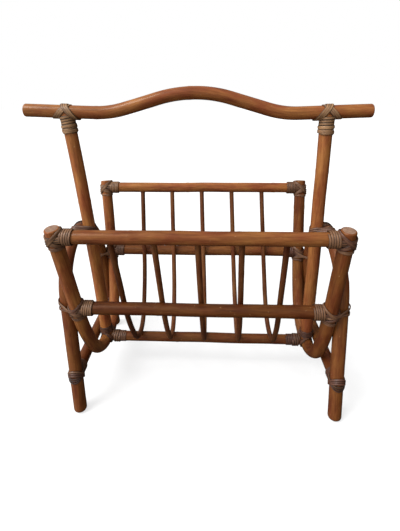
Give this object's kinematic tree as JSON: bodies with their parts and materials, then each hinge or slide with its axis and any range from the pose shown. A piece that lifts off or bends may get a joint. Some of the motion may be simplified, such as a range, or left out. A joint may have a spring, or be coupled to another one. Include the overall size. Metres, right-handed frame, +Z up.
{
  "type": "magazine rack",
  "caption": "Free-standing magazine rack of bent varnished cane: end frames and rails hold a trough of V-shaped canes, lashed at every joint, with leg arches and a bowed carrying handle.",
  "frame": {"origin": "on the floor, under the middle of the carrying handle", "axes": "+X along the rails to the right end, -Y the front, +Z up"},
  "size_m": [0.4716, 0.2456, 0.446],
  "materials": {
    "cane": "bent cane poles under satin brown varnish",
    "thin_cane": "thin round cane under satin dark brown varnish",
    "peel": "flat cane peel, wound and varnished, grey-brown",
    "pin": "plain steel panel pins"
  },
  "bodies": {
    "root": {"handle": "cane", "left_post": "cane", "left_end_frame": "cane", "left_leg_arch": "cane", "left_stretcher": "cane", "right_post": "cane", "right_end_frame": "cane", "right_leg_arch": "cane", "right_stretcher": "cane", "front_top_rail": "cane", "front_middle_rail": "cane", "back_top_rail": "cane", "back_middle_rail": "cane", "bottom_rail": "cane", "slat_1": "thin_cane", "slat_2": "thin_cane", "slat_3": "thin_cane", "slat_4": "thin_cane", "slat_5": "thin_cane", "left_handle_lashing": "peel", "left_arch_lashing": "peel", "left_foot_lashing": "peel", "right_handle_lashing": "peel", "right_arch_lashing": "peel", "right_foot_lashing": "peel", "front_left_top_lashing": "peel", "front_left_middle_lashing": "peel", "front_left_stretcher_lashing": "peel", "back_left_top_lashing": "peel", "back_left_middle_lashing": "peel", "back_left_stretcher_lashing": "peel", "front_right_top_lashing": "peel", "front_right_middle_lashing": "peel", "front_right_stretcher_lashing": "peel", "back_right_top_lashing": "peel", "back_right_middle_lashing": "peel", "back_right_stretcher_lashing": "peel", "handle_pins": "pin", "post_foot_pins": "pin", "arch_pins": "pin", "bottom_rail_pins": "pin", "top_rail_pins": "pin", "middle_rail_pins": "pin", "leg_pins": "pin", "stretcher_pins": "pin", "slat_pins": "pin"}
  },
  "joints": []
}
